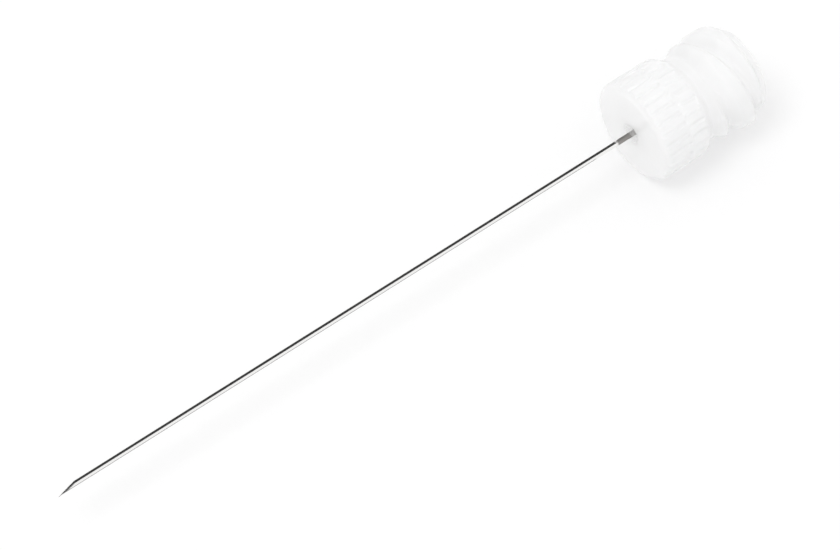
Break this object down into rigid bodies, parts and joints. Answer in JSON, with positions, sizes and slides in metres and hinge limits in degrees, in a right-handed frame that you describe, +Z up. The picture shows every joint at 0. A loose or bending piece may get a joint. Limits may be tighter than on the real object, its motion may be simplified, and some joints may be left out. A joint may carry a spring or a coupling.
{
  "type": "medical needle",
  "caption": "Hypodermic needle standing on its hub: a fine bevelled steel tube bonded into a translucent grooved plastic hub with tapered socket and lock thread.",
  "frame": {"origin": "centre of the socket's mouth, on the surface that the hub's rear end stands on", "axes": "+Z up along the needle from the socket's mouth to its point, +Y towards the side that lies on the table in the picture"},
  "size_m": [0.0078, 0.0078, 0.0609],
  "materials": {
    "hub_plastic": "translucent natural polypropylene, satin moulded surface",
    "cannula_steel": "drawn stainless tube, bright, with a short roughened band at the hub",
    "cured_adhesive": "clear cured adhesive, glossy"
  },
  "bodies": {
    "root": {"hub": "hub_plastic", "cannula": "cannula_steel", "adhesive": "cured_adhesive"}
  },
  "joints": []
}
